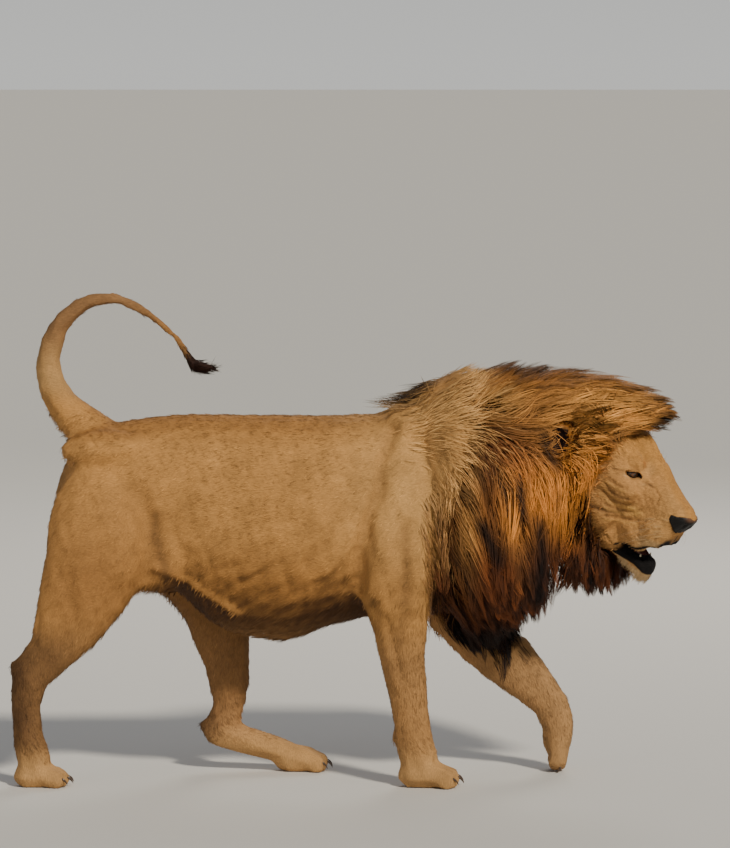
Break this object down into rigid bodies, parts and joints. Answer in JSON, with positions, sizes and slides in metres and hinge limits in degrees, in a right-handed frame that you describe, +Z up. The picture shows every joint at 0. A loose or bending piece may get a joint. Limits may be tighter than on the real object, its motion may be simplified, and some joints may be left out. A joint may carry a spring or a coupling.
{
  "type": "lion",
  "caption": "Life-size maned male lion, mid-stride, with its tail arched over its back, its head lowered and turned outward, and its mouth open. A still model that stands on its feet.",
  "frame": {"origin": "centre of the bounding box's underside, on the floor that the feet stand on", "axes": "+X the way the lion walks, towards its nose; +Y its own left side; +Z up"},
  "size_m": [1.997, 0.5598, 1.4358],
  "materials": {
    "coat": "matte",
    "mane": "matte",
    "eye": "gloss",
    "leather": "satin",
    "tooth": "gloss",
    "tongue": "satin"
  },
  "bodies": {
    "root": {"canine_lower_left": "tooth", "canine_lower_right": "tooth", "canine_upper_left": "tooth", "canine_upper_right": "tooth", "ear_left": "coat", "ear_right": "coat", "eye_left": "eye", "eye_right": "eye", "fore_left_lower": "coat", "fore_left_paw": "coat", "fore_left_upper": "coat", "fore_right_lower": "coat", "fore_right_paw": "coat", "fore_right_upper": "coat", "head": "coat", "hind_left_foot": "coat", "hind_left_lower": "coat", "hind_left_upper": "coat", "hind_right_lower": "coat", "hind_right_paw": "coat", "hind_right_upper": "coat", "lower_jaw": "coat", "mane_crown": "mane", "mane_neck": "mane", "mane_ruff": "mane", "nose_pad": "leather", "tail_base": "coat", "tail_bend": "coat", "tail_fall": "coat", "tail_rise": "coat", "tail_tuft": "mane", "tongue": "tongue", "trunk": "coat"}
  },
  "joints": []
}
